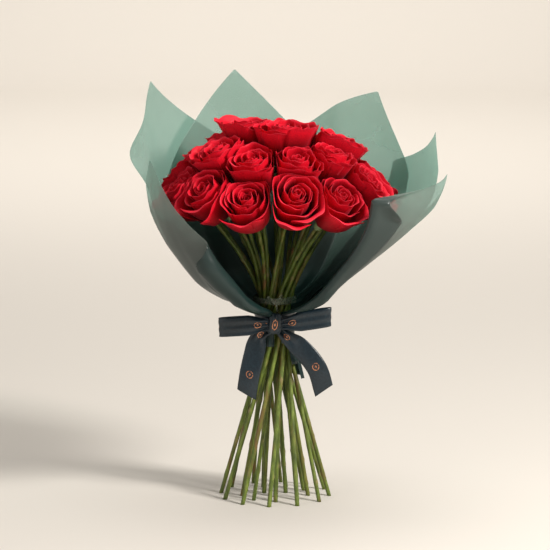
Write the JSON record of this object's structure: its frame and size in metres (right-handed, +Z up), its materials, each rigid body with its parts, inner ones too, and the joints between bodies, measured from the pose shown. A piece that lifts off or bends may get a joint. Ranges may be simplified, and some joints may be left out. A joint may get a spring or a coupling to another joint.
{
  "type": "bunch of roses",
  "caption": "Hand-tied dome of red roses on bare spiralled stems, in a flared wrap of frosted dark green film tied at the waist with a dark satin ribbon bow.",
  "frame": {"origin": "on the ground under the middle of the whole bunch", "axes": "+Z up along the bunch, cut stem ends in z = 0, front towards -Y, +X to the viewer's right"},
  "size_m": [0.3608, 0.2768, 0.504],
  "materials": {
    "petals": "velvety red rose petals, paler along their rolled rims and almost black in the folds",
    "stems": "fresh green stems with brown and tan patches, leaf scars and pale cut ends; pale sage receptacles",
    "film": "frosted translucent dark green wrapping film, darker where sheets overlap",
    "tie": "clear tape and string",
    "ribbon": "dark blue-green satin ribbon with a plain copper foil motif"
  },
  "bodies": {
    "root": {"rose_head_01": "petals", "rose_head_02": "petals", "rose_head_03": "petals", "rose_head_04": "petals", "rose_head_05": "petals", "rose_head_06": "petals", "rose_head_07": "petals", "rose_head_08": "petals", "rose_head_09": "petals", "rose_head_10": "petals", "rose_head_11": "petals", "rose_head_12": "petals", "rose_head_13": "petals", "rose_head_14": "petals", "rose_head_15": "petals", "rose_head_16": "petals", "rose_head_17": "petals", "rose_head_18": "petals", "rose_head_19": "petals", "rose_head_20": "petals", "rose_head_21": "petals", "rose_head_22": "petals", "rose_head_23": "petals", "rose_head_24": "petals", "rose_stem_01": "stems", "rose_stem_02": "stems", "rose_stem_03": "stems", "rose_stem_04": "stems", "rose_stem_05": "stems", "rose_stem_06": "stems", "rose_stem_07": "stems", "rose_stem_08": "stems", "rose_stem_09": "stems", "rose_stem_10": "stems", "rose_stem_11": "stems", "rose_stem_12": "stems", "rose_stem_13": "stems", "rose_stem_14": "stems", "rose_stem_15": "stems", "rose_stem_16": "stems", "rose_stem_17": "stems", "rose_stem_18": "stems", "rose_stem_19": "stems", "rose_stem_20": "stems", "rose_stem_21": "stems", "rose_stem_22": "stems", "rose_stem_23": "stems", "rose_stem_24": "stems", "wrap_back_centre": "film", "wrap_back_left": "film", "wrap_back_right": "film", "wrap_right": "film", "wrap_front_left": "film", "wrap_front_right": "film", "stem_tie": "tie", "ribbon_band": "ribbon", "ribbon_loop_left": "ribbon", "ribbon_loop_right": "ribbon", "ribbon_tail_left": "ribbon", "ribbon_tail_right": "ribbon"}
  },
  "joints": []
}
